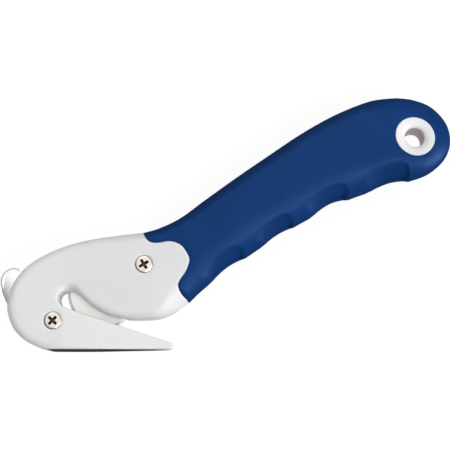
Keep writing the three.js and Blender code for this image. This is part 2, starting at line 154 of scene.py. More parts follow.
# Finger scallops: where each begins and ends along X, how deep it cuts the rim, how far it reaches inwards
# and how deep its dish is.
SCALLOPS = [
    {"x": (76.5, 91.3), "rim": 1.2, "reach": 6.4, "dish": 1.4},
    {"x": (96.8, 110.3), "rim": 0.85, "reach": 6.2, "dish": 1.4},
    {"x": (116.0, 131.9), "rim": 1.55, "reach": 7.2, "dish": 1.5},
    {"x": (138.3, 156.0), "rim": 1.25, "reach": 8.4, "dish": 1.5},
]

# The boundary of head and grip.
WAVE = [(49.8, 49.2), (51.3, 46), (53.7, 41.8), (57.2, 40.8), (62.2, 41.4), (66.4, 39.9), (69.1, 36.2),
        (69.7, 33.7), (68.4, 29.9), (66, 26.2), (65.5, 24), (66.7, 21.2), (69.1, 18.9), (71.6, 16.4)]


class Rim:
    """The closed rim, with its edge rounding and how much of the half thickness the rounding takes."""

    def __init__(self, step=0.6):
        full, none = np.ones_like, np.zeros_like
        stretches = [
            (SOLE, lambda t: mix(HEAD_ROUND, 1.0, smoothstep(t, 0, 0.5)), none),
            (JAW_TIP, lambda t: mix(1.0, SHARP_ROUND, t), none),
            (JAW_EDGE, lambda t: np.full_like(t, SHARP_ROUND), none),
            (THROAT, lambda t: SHARP_ROUND + 3.0 * smoothstep(t, 0.5, 0.75) - 1.4 * smoothstep(t, 0.75, 1),
             none),
            (BELLY, lambda t: mix(2.4, 3.4, smoothstep(t, 0.2, 0.6)) + 5.0 * smoothstep(t, 0.65, 1),
             lambda t: smoothstep(t, 0.5, 0.9)),
            (UNDERSIDE, lambda t: mix(GRIP_ROUND, FINGER_ROUND, smoothstep(t, 0, 0.2)), full),
            (TAIL, lambda t: mix(FINGER_ROUND, GRIP_ROUND, smoothstep(t, 0, 0.8)), full),
            (SPINE, lambda t: mix(GRIP_ROUND, HEAD_ROUND + 2, smoothstep(t, 0.6, 1)),
             lambda t: 1 - 0.4 * smoothstep(t, 0.8, 1)),
            (BACK, lambda t: mix(HEAD_ROUND + 2, HEAD_ROUND, smoothstep(t, 0, 0.5)),
             lambda t: 0.6 * (1 - smoothstep(t, 0, 0.6))),
            (NOSE, lambda t: np.full_like(t, HEAD_ROUND), none),
        ]
        lines, widths, shares = [], [], []
        self.start = {}
        for points, width, share in stretches:
            line = spline(points, step)
            t = np.arange(len(line)) / len(line)
            self.start[points[0]] = sum(len(part) for part in lines)
            lines.append(line)
            widths.append(width(t))
            shares.append(share(t))
        self.points = np.concatenate(lines)
        self.width = np.concatenate(widths)
        self.full = np.concatenate(shares)
        ahead = np.roll(self.points, -1, axis=0) - self.points
        length = np.linalg.norm(ahead, axis=1)
        normal = np.stack([-ahead[:, 1], ahead[:, 0]], axis=1) / length[:, None]
        normal = normal + np.roll(normal, 1, axis=0)
        for _ in range(3):
            normal = normal + 0.5 * (np.roll(normal, 1, axis=0) + np.roll(normal, -1, axis=0))
        self.normal = normal / np.linalg.norm(normal, axis=1)[:, None]

    def nearest(self, points):
        """For each point the distance to the rim and the place of the rim's nearest point.

        A place is a vertex number plus the share of the way to the next vertex."""
        a = self.points
        ab = np.roll(a, -1, axis=0) - a
        distance, place = [], []
        for chunk in np.array_split(points, max(1, len(points) // 1500)):
            ap = chunk[:, None, :] - a[None]
            t = np.clip((ap * ab).sum(2) / (ab * ab).sum(1), 0, 1)
            gap = np.hypot(*(ap - t[..., None] * ab).transpose(2, 0, 1))
            best = gap.argmin(1)
            rows = np.arange(len(chunk))
            distance.append(gap[rows, best])
            place.append(best + t[rows, best])
        return np.concatenate(distance), np.concatenate(place)

    def along(self, values, place):
        """Values given at the rim's vertices, read between them."""
        count = len(self.points)
        low = np.floor(place).astype(int) % count
        t = place - np.floor(place)
        return mix(values[low], values[(low + 1) % count], t if values.ndim == 1 else t[:, None])


rim = Rim()


def half_thickness(x, y):
    """Half thickness of the knife before its edges are rounded.

    It grows from the head to the grip, falls evenly beyond a soft bend before the hanging eye, and tapers
    along the lower jaw."""
    body = mix(HEAD_HALF, GRIP_HALF, smoothstep(x, 15, 85))
    beyond_eye = TAIL_AXIS[0] * (x - EYE_CENTRE[0]) + TAIL_AXIS[1] * (y - EYE_CENTRE[1])
    bend_start = SLOPE_START - SLOPE_BLEND
    bend_end = SLOPE_START + SLOPE_BLEND
    bend = np.clip(beyond_eye - bend_start, 0, 2 * SLOPE_BLEND) ** 2 / (4 * SLOPE_BLEND)
    body -= TAIL_SLOPE * np.where(beyond_eye > bend_end, beyond_eye - SLOPE_START, bend)
    jaw = mix(HEAD_HALF, JAW_TIP_HALF, np.clip((x - JAW_START) / JAW_TAPER, 0, 1))
    below_throat = y < 18 - 0.22 * (x - 20)
    in_jaw = below_throat & (x > JAW_START) & (x < 66)
    return np.where(in_jaw, jaw, body)


# ------------------------------------------------------------------ finger scallops


# A scallop's dish, in shares of the scallop's length and reach: where it is deepest, how far it goes from
# there towards the tail, the head and across, and how steeply it ends towards the head and the tail.
DISH_PLACE = 0.68
DISH_INWARDS = 0.42
DISH_TO_TAIL = 0.34
DISH_TO_HEAD = 0.62
DISH_ACROSS = 0.58
DISH_ENDS = (1.8, 6)


def rim_share(u):
    """How deep the rim is cut along a scallop, from 0 at its ends to 1."""
    return np.sin(np.pi * np.clip(u, 0, 1) ** 1.2)


def scallop_cut(distance, near):
    """How much nearer to the rim a point of the underside seems where a finger scallop is cut.

    A scallop is a shallow cut of the rim that fades inwards, with a dish in its side. The dish fades out
    towards the head, and ends towards the tail in a steep round wall."""
    cut = np.zeros_like(distance)
    for scallop in SCALLOPS:
        low, high = scallop["x"]
        u = (near[:, 0] - low) / (high - low)
        fade = np.clip(1 - distance / scallop["reach"], 0, 1)
        cut = np.maximum(cut, scallop["rim"] * rim_share(u) * fade)
        to_tail = (u - DISH_PLACE) / DISH_TO_TAIL
        to_head = (DISH_PLACE - u) / DISH_TO_HEAD
        across = (distance / scallop["reach"] - DISH_INWARDS) / DISH_ACROSS
        along = np.where(to_tail > 0, to_tail, to_head)
        side = np.where(across > 0, across, across / 0.9)
        radius = np.clip(np.hypot(along, side), 1e-6, 1)
        facing_tail = np.clip(to_tail / radius, 0, 1)
        cut += scallop["dish"] * (1 - radius ** mix(*DISH_ENDS, facing_tail**2))
    return cut


def rim_cut_at(points):
    """How far the rim itself is cut in at points of the smooth underside."""
    cut = np.zeros(len(points))
    for scallop in SCALLOPS:
        low, high = scallop["x"]
        cut = np.maximum(cut, scallop["rim"] * rim_share((points[:, 0] - low) / (high - low)))
    return cut


underside = slice(rim.start[UNDERSIDE[0]], rim.start[TAIL[0]])
rim_cut = np.zeros(len(rim.points))
rim_cut[underside] = rim_cut_at(rim.points[underside])
outline = rim.points + rim.normal * rim_cut[:, None]


def throat_crease(points):
    """Depth of the soft crease that runs out of the throat's end towards the nose."""
    start, end = np.array((25.5, 21.8)), np.array((16.5, 26.0))
    depth, width = 0.55, 1.5
    along = end - start
    t = np.clip((points - start) @ along / (along @ along), 0, 1)
    gap = np.hypot(*(points - start - t[:, None] * along).T)
    return depth * (1 - t) ** 0.8 * np.exp(-((gap / width) ** 2))


def surface(points):
    """Height of the face over the parting plane at points inside the rim."""
    distance, place = rim.nearest(points)
    near = rim.along(rim.points, place)
    width = rim.along(rim.width, place)
    full = rim.along(rim.full, place)
    under = (place >= underside.start) & (place < underside.stop)
    seen = np.where(under, distance - scallop_cut(distance, near), distance)
    half = half_thickness(points[:, 0], points[:, 1]) - throat_crease(points)
    depth = mix(np.minimum(width, half - 0.8), half - SEAM_EDGE, full)
    t = np.clip(seen / width, 0, 1)
    return half - depth + depth * np.sqrt(1 - (1 - t) ** 2)


# ------------------------------------------------------------------ meshes


def make_mesh(name, vertices, faces, material, sharp=35):
    """An object from vertices in the knife's own millimetres, smooth but for its sharp edges."""
    mesh = bpy.data.meshes.new(name)
    placed = (np.asarray(vertices, float) + np.array(DATUM)) * MM
    mesh.from_pydata(placed.tolist(), [], faces)
    mesh.materials.append(material)
    mesh.shade_smooth()
    mesh.set_sharp_from_angle(angle=math.radians(sharp))
    mesh.update()
    obj = bpy.data.objects.new(name, mesh)
    bpy.context.collection.objects.link(obj)
    return obj


def inside(points, loop):
    """Which points lie inside a closed loop."""
    result = np.zeros(len(points), bool)
    for a, b in zip(loop, np.roll(loop, -1, axis=0)):
        crosses = (a[1] > points[:, 1]) != (b[1] > points[:, 1])
        if a[1] != b[1]:
            x = a[0] + (points[:, 1] - a[1]) * (b[0] - a[0]) / (b[1] - a[1])
            result ^= crosses & (points[:, 0] < x)
    return result


def thin_out(points, fixed, spacing):
    """Points that keep their spacing from the fixed points and from each other, earlier points first."""
    tree = KDTree(len(points) + len(fixed))
    everything = np.concatenate([fixed, points])
    for i, (x, y) in enumerate(everything):
        tree.insert((x, y, 0), i)
    tree.balance()
    kept = np.ones(len(everything), bool)
    for i in range(len(fixed), len(everything)):
        x, y = everything[i]
        for _, j, _ in tree.find_range((x, y, 0), spacing[i - len(fixed)]):
            if j < i and kept[j]:
                kept[i] = False
                break
    return everything[len(fixed):][kept[len(fixed):]]


def hex_grid(low, high, spacing):
    """Points in staggered rows between two corners."""
    rows = np.arange(low[1], high[1], spacing * 0.866)
    columns = np.arange(low[0], high[0], spacing)
    return np.array([(x + spacing / 2 * (i % 2), y) for i, y in enumerate(rows) for x in columns])


def tile(loop, holes, free):
    """Triangles over a loop, less its holes, through the free points. Returns points and triangles."""
    loops = [loop, *holes]
    points = np.concatenate([*loops, free])
    faces, start = [], 0
    for part in loops:
        faces.append(list(range(start, start + len(part))))
        start += len(part)
    flat, _, triangles, _, _, origin = delaunay_2d_cdt([Vector(p) for p in points], [], faces, 0, 1e-5, True)
    hole_numbers = set(range(1, len(loops)))
    wanted = [t for t, source in zip(triangles, origin) if 0 in source and hole_numbers.isdisjoint(source)]
    return np.array([tuple(p) for p in flat]), wanted


def edges_of(triangles):
    """The directed edges that only one triangle has."""
    seen = {(t[i], t[(i + 1) % 3]) for t in triangles for i in range(3)}
    return [(a, b) for a, b in seen if (b, a) not in seen]


def slab(flat, triangles, top, bottom, chamfer=0.15):
    """A closed body between two heights over tiles. Its lower edge is chamfered where it meets the seam."""
    count = len(flat)
    border = edges_of(triangles)
    inward = np.zeros((count, 2))
    for a, b in border:
        along = flat[b] - flat[a]
        normal = np.array([-along[1], along[0]]) / (np.linalg.norm(along) + 1e-9)
        inward[a] += normal
        inward[b] += normal
    size = np.linalg.norm(inward, axis=1)[:, None]
    inward = np.divide(inward, size, out=np.zeros_like(inward), where=size > 0)
    vertices = [np.column_stack([flat, top]), np.column_stack([flat + inward * chamfer, bottom])]
    row = {}
    extra = []
    for a, b in border:
        for k in (a, b):
            if k not in row:
                row[k] = 2 * count + len(extra)
                extra.append((*flat[k], min(top[k], bottom[k] + SEAM_EDGE - SEAM)))
    faces = [tuple(t) for t in triangles]
    faces += [tuple(i + count for i in reversed(t)) for t in triangles]
    for a, b in border:
        if top[a] - extra[row[a] - 2 * count][2] > 1e-4 or top[b] - extra[row[b] - 2 * count][2] > 1e-4:
            faces.append((row[a], row[b], b, a))
            faces.append((a + count, b + count, row[b], row[a]))
        else:
            faces.append((a + count, b + count, b, a))
    return np.concatenate([*vertices, np.array(extra).reshape(-1, 3)]), faces


def mirrored(vertices, faces):
    """The same body on the other side of the parting plane."""
    turned = np.array(vertices) * (1, 1, -1)
    return turned, [tuple(reversed(f)) for f in faces]


def circle(centre, radius, count):
    """Points round a circle, counter-clockwise from +X."""
    angle = np.arange(count) * 2 * math.pi / count
    return np.column_stack([centre[0] + radius * np.cos(angle), centre[1] + radius * np.sin(angle)])


def lathe(profile, centre, segments=96):
    """A body turned about an axis along Z. The profile is a closed list of (radius, height)."""
    vertices, faces, rows = [], [], []
    for radius, height in profile:
        if radius == 0:
            rows.append([len(vertices)] * segments)
            vertices.append((*centre, height))
            continue
        ring = circle(centre, radius, segments)
        rows.append(list(range(len(vertices), len(vertices) + segments)))
        vertices += [(x, y, height) for x, y in ring]
    for lower, upper in zip(rows, rows[1:] + rows[:1]):
        for i in range(segments):
            j = (i + 1) % segments
            face = list(dict.fromkeys((lower[i], lower[j], upper[j], upper[i])))
            if len(face) > 2:
                faces.append(tuple(face))
    return np.array(vertices), faces


# ------------------------------------------------------------------ materials


class Nodes:
    """A material's nodes, added one by one."""

    def __init__(self, name):
        self.material = bpy.data.materials.new(name)
        self.material.use_nodes = True
        self.tree = self.material.node_tree
        self.shader = self.tree.nodes["Principled BSDF"]
        self.where = self.add("ShaderNodeTexCoord").outputs["Object"]

    def add(self, kind, **values):
        node = self.tree.nodes.new(kind)
        for key, value in values.items():
            setattr(node, key, value)
        return node

    def link(self, source, target):
        self.tree.links.new(source, target)

    def noise(self, scale, detail=3, roughness=0.5, stretch=None):
        """Noise in the object's own metres, finer along an axis where stretch is over 1."""
        node = self.add("ShaderNodeTexNoise")
        node.inputs["Scale"].default_value = scale
        node.inputs["Detail"].default_value = detail
        node.inputs["Roughness"].default_value = roughness
        source = self.where
        if stretch:
            mapping = self.add("ShaderNodeMapping")
            mapping.inputs["Scale"].default_value = stretch
            self.link(source, mapping.inputs["Vector"])
            source = mapping.outputs["Vector"]
        self.link(source, node.inputs["Vector"])
        return node.outputs["Fac"]

    def ramp(self, source, stops):
        """Colours by a value: stops of the value and the colour."""
        node = self.add("ShaderNodeValToRGB")
        ramp = node.color_ramp
        while len(ramp.elements) < len(stops):
            ramp.elements.new(0.5)
        for element, (place, colour) in zip(ramp.elements, stops):
            element.position = place
            element.color = (*colour, 1)
        self.link(source, node.inputs["Fac"])
        return node.outputs["Color"]

    def span(self, source, low, high, start=0.3, end=0.7):
        """The source's range from start to end, turned into low to high."""
        node = self.add("ShaderNodeMapRange")
        node.inputs["From Min"].default_value = start
        node.inputs["From Max"].default_value = end
        node.inputs["To Min"].default_value = low
        node.inputs["To Max"].default_value = high
        self.link(source, node.inputs["Value"])
        return node.outputs["Result"]

    def product(self, first, second):
        node = self.add("ShaderNodeMath", operation="MULTIPLY")
        self.link(first, node.inputs[0])
        self.link(second, node.inputs[1])
        return node.outputs["Value"]

    def bump(self, source, strength, distance, normal=None):
        node = self.add("ShaderNodeBump")
        node.inputs["Strength"].default_value = strength
        node.inputs["Distance"].default_value = distance
        self.link(source, node.inputs["Height"])
        if normal:
            self.link(normal, node.inputs["Normal"])
        return node.outputs["Normal"]

    def set(self, **values):
        """Constants on the shader's own sockets, with _ for the blanks in their names."""
        for key, value in values.items():
            self.shader.inputs[key.replace("_", " ")].default_value = value

    def feed(self, name, source):
        self.link(source, self.shader.inputs[name])


def shade(colour, factor):
    """A colour made darker or lighter."""
    return tuple(min(1.0, c * factor) for c in colour)


def moulded(name, colour, roughness, grain, subsurface=0.0, painted_sole_shade=None):
    """Injection-moulded plastic: faint flow marks in its colour, a fine spark-eroded grain and uneven gloss.

    The sole, given by its Y and by where it begins and ends along X, gets painted shade: a streaked dark
    brown that stands in for the shade along its lowest strip."""
    n = Nodes(name)
    colours = n.ramp(n.noise(60, 4), [(0.3, shade(colour, 0.975)), (0.7, shade(colour, 1.015))])
    # Painted shade: the sole's lowest strip is made streaked dark brown, standing in for the shade there.
    if painted_sole_shade:
        sole, front, end = painted_sole_shade
        place = n.add("ShaderNodeSeparateXYZ")
        n.link(n.where, place.inputs["Vector"])
        low = n.span(place.outputs["Y"], 1, 0, sole, sole + 0.2 * MM)
        behind_front = n.span(place.outputs["X"], 0, 1, front, front + 7 * MM)
        before_end = n.span(place.outputs["X"], 1, 0, end - 4 * MM, end)
        share = n.product(n.product(low, behind_front), before_end)
        shade_streaks = n.noise(700, 4, 0.6, (0.12, 1, 1))
        sole_shade_colours = n.ramp(shade_streaks, [(0.3, (0.035, 0.026, 0.023)), (0.7, (0.10, 0.078, 0.07))])
        mixed = n.add("ShaderNodeMix", data_type="RGBA")
        n.link(share, mixed.inputs["Factor"])
        n.link(colours, mixed.inputs["A"])
        n.link(sole_shade_colours, mixed.inputs["B"])
        colours = mixed.outputs["Result"]
    n.feed("Base Color", colours)
    n.feed("Roughness", n.span(n.noise(140, 3), roughness - 0.05, roughness + 0.06))
    fine = n.bump(n.noise(5200, 2), grain, 0.00003)
    n.feed("Normal", n.bump(n.noise(45, 2), 0.05, 0.0004, fine))
    n.set(IOR=1.5)
    if subsurface:
        n.set(Subsurface_Weight=subsurface, Subsurface_Radius=(0.002, 0.002, 0.0018), Subsurface_Scale=1.0)
    return n.material


def soft_grip(name, colour):
    """Soft-touch rubber: half matt and finely grained, with bluish reflections and uneven gloss."""
    n = Nodes(name)
    patches = n.noise(70, 5, 0.6)
    n.feed("Base Color", n.ramp(patches, [(0.3, shade(colour, 0.92)), (0.7, shade(colour, 1.08))]))
    n.feed("Roughness", n.span(n.noise(90, 4), 0.38, 0.46))
    fine = n.bump(n.noise(4200, 3), 0.12, 0.00004)
    n.feed("Normal", n.bump(n.noise(60, 2), 0.06, 0.0004, fine))
    n.set(IOR=1.48, Specular_IOR_Level=0.45, Specular_Tint=(0.24, 0.44, 1.0, 1))
    return n.material


def steel(name, colour, roughness, grain=0.1, stretch=(1, 12, 1), scale=900):
    """Metal with a brushed or turned grain and faint smears."""
    n = Nodes(name)
    smear = n.noise(120, 4)
    n.feed("Base Color", n.ramp(smear, [(0.3, shade(colour, 0.94)), (0.7, shade(colour, 1.03))]))
    lines = n.noise(scale, 3, 0.6, stretch)
    n.feed("Roughness", n.span(lines, roughness - 0.06, roughness + 0.08))
    n.feed("Normal", n.bump(lines, grain, 0.00003))
    n.set(Metallic=1.0)
    return n.material


# The sole's painted shade: up to which Y, and from which X to which X.
SOLE_PAINTED_SHADE = ((DATUM.y + 0.4) * MM, (DATUM.x + 11) * MM, (DATUM.x + 63.5) * MM)

WHITE = moulded("white_plastic", (0.78, 0.78, 0.79), 0.45, 0.06, 0.1, SOLE_PAINTED_SHADE)
EYE_WHITE = moulded("white_plastic_eye", (0.80, 0.79, 0.81), 0.42, 0.06, 0.2)
# Painted shade: a darker, pinker white for the bore of the hanging eye, standing in for the shade inside it.
EYE_BORE_PAINTED_SHADE = moulded("white_plastic_bore_painted_shade", (0.64, 0.57, 0.61), 0.5, 0.06)
BLUE = soft_grip("blue_grip", (0.001, 0.031, 0.138))
BLADE_FACE = steel("blade_steel", (0.79, 0.80, 0.75), 0.38, 0.1, (9, 1, 1), 700)
BLADE_EDGE = steel("blade_bevel", (0.62, 0.62, 0.58), 0.3, 0.12, (1, 1, 1), 2500)
SPLITTER = steel("splitter_steel", (0.95, 0.95, 0.93), 0.38, 0.06, (1, 10, 1), 900)
NICKEL = steel("screw_nickel", (0.78, 0.74, 0.67), 0.28, 0.05, (1, 1, 1), 2200)
# Painted shade: the cross recess is made dark brown metal, standing in for the shade inside it.
RECESS_PAINTED_SHADE = steel("screw_recess_painted_shade", (0.16, 0.10, 0.05), 0.5, 0.1, (1, 1, 1), 1800)
BRASS = steel("insert_brass", (0.72, 0.50, 0.20), 0.35, 0.08, (1, 1, 1), 1500)
NYLON = moulded("nylon", (0.80, 0.78, 0.70), 0.5, 0.05)


# ------------------------------------------------------------------ head and grip


def wave_line(shift):
    """The boundary of head and grip, moved towards the grip by shift."""
    line = np.append(spline(WAVE, 0.5), [WAVE[-1]], axis=0)
    along = np.gradient(line, axis=0)
    along /= np.linalg.norm(along, axis=1)[:, None]
    return line + np.column_stack([-along[:, 1], along[:, 0]]) * shift


def crop_to_rim(line):
    """The part of a line that lies inside the outline, and the outline vertices nearest to its two ends."""
    kept = line[inside(line, outline)]
    ends = [int(np.hypot(*(outline - p).T).argmin()) for p in (kept[0], kept[-1])]
    clear = rim.nearest(kept)[0] > 0.25
    return kept[clear], ends


def rim_rings(angles):
    """Points inside the rim at angles of its rounding, less those that are nearer to another stretch."""
    rings = []
    for angle in angles:
        reach = rim_cut + rim.width * (1 - math.cos(angle))
        points = rim.points + rim.normal * reach[:, None]
        distance, _ = rim.nearest(points)
        rings.append(points[distance > 0.8 * reach])
    return np.concatenate(rings)


def seam_rows(side):
    """Rows of points on one side of the boundary of head and grip, where its edge is rounded."""
    return np.concatenate([wave_line(side * (0.06 + d)) for d in (0.12, 0.3, 0.6)])


def distance_to_line(points, line):
    """How far each point is from an open line."""
    gap = np.full(len(points), 1e9)
    for a, b in zip(line, line[1:]):
        t = np.clip(((points - a) @ (b - a)) / ((b - a) @ (b - a)), 0, 1)
        gap = np.minimum(gap, np.hypot(*(points - a - t[:, None] * (b - a)).T))
    return gap


def face_points(loop, holes, extra):
    """The free points of a face: the extra ones, the rim's rings, a fine grid at the scallops, a coarse grid.

    They lie closer together near the rim."""
    fine_step, coarse_step = 0.55, 1.5
    near = rim_rings(np.linspace(0, math.pi / 2, 15)[1:])
    low, high = loop.min(0), loop.max(0)
    fine = hex_grid(low, high, fine_step)
    distance, place = rim.nearest(fine)
    beside_rim = (distance > 0.5) & (distance < 12)
    fine = fine[beside_rim & (place > underside.start) & (place < underside.stop)]
    coarse = hex_grid(low, high, coarse_step)
    free = np.concatenate([extra, near, fine, coarse])
    keep = inside(free, loop)
    for hole in holes:
        keep &= ~inside(free, hole)
    free = free[keep]
    distance, _ = rim.nearest(free)
    spacing = np.clip(0.18 * distance, 0.07, 0.45)
    return thin_out(free, np.concatenate([loop, *holes]), spacing)


def seam_drop(points, line):
    """How far the edge beside the head and grip boundary is rounded down."""
    width, depth = 0.4, 0.2
    t = np.clip(distance_to_line(points, line) / width, 0, 1)
    return depth * (1 - np.sqrt(1 - (1 - t) ** 2))


def chamber(points):
    """Height of the parting face: raised over the blade's chamber and the splitter's slot."""
    slot_centre, slot_radius = (3.0, 24.5), 7.6
    height = np.full(len(points), SEAM)
    near_blade = np.hypot(*(points - BLADE_CENTRE).T) < BLADE_RADIUS + BLADE_ROOM[0]
    near_fin = np.hypot(*(points - slot_centre).T) < slot_radius
    height[near_blade] = BLADE_HALF + BLADE_ROOM[1]
    height[near_fin] = SPLITTER_HALF + SPLITTER_ROOM
    return height


def hole_edge(points, centre, radius, soft):
    """How far the edge of a round hole is rounded down."""
    gap = np.hypot(*(points - centre).T) - radius
    t = np.clip(gap / soft, 0, 1)
    return soft * (1 - np.sqrt(1 - (1 - t) ** 2))


def half_body(name, side, flat, triangles, top, bottom, material):
    """A front or rear half over tiles, between the parting face and the face of the knife."""
    vertices, faces = slab(flat, triangles, np.maximum(top, bottom + LEAST_WALL), bottom)
    if side < 0:
        vertices, faces = mirrored(vertices, faces)
    return make_mesh(name, vertices, faces, material)


def head_shell(name, side, holes):
    """One half of the head, with counterbores round the given centres."""
    line, (top_end, bottom_end) = crop_to_rim(wave_line(-WAVE_GAP))
    loop = np.concatenate([outline[top_end:], outline[: bottom_end + 1], line[::-1]])
    circles = [circle(centre, SCREW_HOLE, 48) for centre in holes]
    around = [circle(centre, SCREW_HOLE + d, 48) for centre in holes for d in (0.1, 0.25, 0.6)]
    extra = np.concatenate([seam_rows(-1), *around])
    flat, triangles = tile(loop, circles, face_points(loop, circles, extra))
    top = surface(flat) - seam_drop(flat, line)
    for centre in holes:
        top -= hole_edge(flat, centre, SCREW_HOLE, 0.15)
    return half_body(name, side, flat, triangles, top, chamber(flat), WHITE)


def grip_half(name, side):
    """One half of the soft grip, with an opening for the hanging eye."""
    line, (top_end, bottom_end) = crop_to_rim(wave_line(WAVE_GAP))
    loop = np.concatenate([outline[bottom_end : top_end + 1], line])
    eye = circle(EYE_CENTRE, EYE_RING, 96)
    around = [circle(EYE_CENTRE, EYE_RING + d, 96) for d in (0.12, 0.3, 0.7)]
    extra = np.concatenate([seam_rows(1), *around])
    flat, triangles = tile(loop, [eye], face_points(loop, [eye], extra))
    top = surface(flat) - seam_drop(flat, line) - hole_edge(flat, EYE_CENTRE, EYE_RING, 0.35)
    bottom = np.full(len(flat), SEAM)
    return half_body(name, side, flat, triangles, top, bottom, BLUE)


def front_funnel(rim_height):
    """The eye's bore in the front half, which opens into a funnel."""
    profile = [(EYE_BORE, SEAM), (EYE_BORE, EYE_FLOOR)]
    for t in np.arange(1, 13) / 12:
        radius = mix(EYE_BORE, EYE_MOUTH, t**1.9)
        profile.append((radius, mix(EYE_FLOOR, rim_height, 1 - (1 - t) ** 1.5)))
    return profile


def rear_bore(rim_height):
    """The eye's bore in the rear half, a little narrower towards its chamfered mouth."""
    profile = [(EYE_BORE, SEAM)]
    for t in np.arange(1, 7) / 6:
        profile.append((mix(EYE_BORE, EYE_BACK, t), mix(1.0, rim_height - 0.3, t)))
    return [*profile, (EYE_BACK + 0.3, rim_height)]


def hanging_eye(name, side):
    """One half of the hanging eye, sheared so that its mouth follows the sloping face."""
    eye_half = float(half_thickness(*np.array(EYE_CENTRE)[:, None])[0])
    rim_height = eye_half - EYE_DROP
    bore = front_funnel(rim_height) if side > 0 else rear_bore(rim_height)
    ring_edge = EYE_RING - 0.02
    lip = [(EYE_MOUTH + 0.12, rim_height + 0.05), (ring_edge, rim_height - 0.05), (ring_edge, SEAM)]
    vertices, faces = lathe([*bore, *lip], EYE_CENTRE)
    faces = [tuple(reversed(f)) for f in faces]
    vertices[:, 2] *= half_thickness(vertices[:, 0], vertices[:, 1]) / eye_half
    if side < 0:
        vertices, faces = mirrored(vertices, faces)
    obj = make_mesh(name, vertices, faces, EYE_WHITE)
    # The bore's faces get the painted-shade white.
    obj.data.materials.append(EYE_BORE_PAINTED_SHADE)
    for polygon in obj.data.polygons:
        radius = (polygon.center.to_2d() / MM - DATUM.to_2d() - Vector(EYE_CENTRE)).length
        if radius < EYE_BORE + 0.02:
            polygon.material_index = 1
    return obj


front_head = head_shell("head_front", 1, [NOSE_SCREW, BACK_SCREW])
rear_head = head_shell("head_rear", -1, [])
front_grip = grip_half("grip_front", 1)
rear_grip = grip_half("grip_rear", -1)
front_eye = hanging_eye("eye_front", 1)
rear_eye = hanging_eye("eye_rear", -1)

# ------------------------------------------------------------------ blade, splitter and screws


def round_blade():
    """The disc: flat faces, a ground bevel and a bore."""
    shoulder = BLADE_RADIUS - BLADE_BEVEL
    profile = [(BLADE_BORE, -BLADE_HALF), (shoulder, -BLADE_HALF), (BLADE_RADIUS, -BLADE_LAND),
               (BLADE_RADIUS, BLADE_LAND), (shoulder, BLADE_HALF), (BLADE_BORE, BLADE_HALF)]
    vertices, faces = lathe(profile, BLADE_CENTRE, 192)
    obj = make_mesh("blade", vertices, faces, BLADE_FACE, 4)
    obj.data.materials.append(BLADE_EDGE)
    for polygon in obj.data.polygons:
        radius = (polygon.center.to_2d() / MM - DATUM.to_2d() - Vector(BLADE_CENTRE)).length
        if radius > shoulder:
            polygon.material_index = 1
    return obj


def plate(name, loop, half, bevel, material):
    """A flat plate with bevelled edges."""
    along = np.roll(loop, -1, axis=0) - np.roll(loop, 1, axis=0)
    inward = np.column_stack([-along[:, 1], along[:, 0]]) / np.linalg.norm(along, axis=1)[:, None]
    levels = [(bevel, half), (0, half - bevel * 0.7), (0, bevel * 0.7 - half), (bevel, -half)]
    count = len(loop)
    rows = [np.column_stack([loop + inward * inset, np.full(count, z)]) for inset, z in levels]
    faces = [tuple(range(count)), tuple(reversed(range(3 * count, 4 * count)))]
    for k in range(3):
        for i in range(count):
            j = (i + 1) % count
            faces.append(((k + 1) * count + i, (k + 1) * count + j, k * count + j, k * count + i))
    return make_mesh(name, np.concatenate(rows), faces, material)


def splitter_loop():
    """The tape splitter: a fin with a round tip, whose root is between the shells."""
    angle = np.radians(np.linspace(72, 209.6, 40))
    fin = np.array(FIN_CENTRE) + FIN_RADIUS * np.column_stack([np.cos(angle), np.sin(angle)])
    root = [(-3.22, 23.73), (-0.4, 17.8), (2.6, 16.9), (7.6, 18.8), (9.6, 23.5), (8.4, 28.6), (2.9, 31.25)]
    return np.concatenate([fin, spline(root, 0.5)[1:]])


def cross_loop(length, width, turn, centre):
    """The outline of a cross recess."""
    quarter = [(width / 2, -width / 2), (length - width * 0.3, -width / 2), (length, -width * 0.25),
               (length, width * 0.25), (length - width * 0.3, width / 2)]
    points = []
    for k in range(4):
        a = k * math.pi / 2 + turn
        points += [(x * math.cos(a) - y * math.sin(a), x * math.sin(a) + y * math.cos(a)) for x, y in quarter]
    return np.array(points) + centre


def nearest_vertices(flat, loop):
    """The number of the tile point at each point of a loop."""
    return [int(np.hypot(*(flat - p).T).argmin()) for p in loop]


def joined(lower, upper):
    """Faces between two rows of vertex numbers round a loop."""
    count = len(upper)
    return [(lower[i], lower[(i + 1) % count], upper[(i + 1) % count], upper[i]) for i in range(count)]


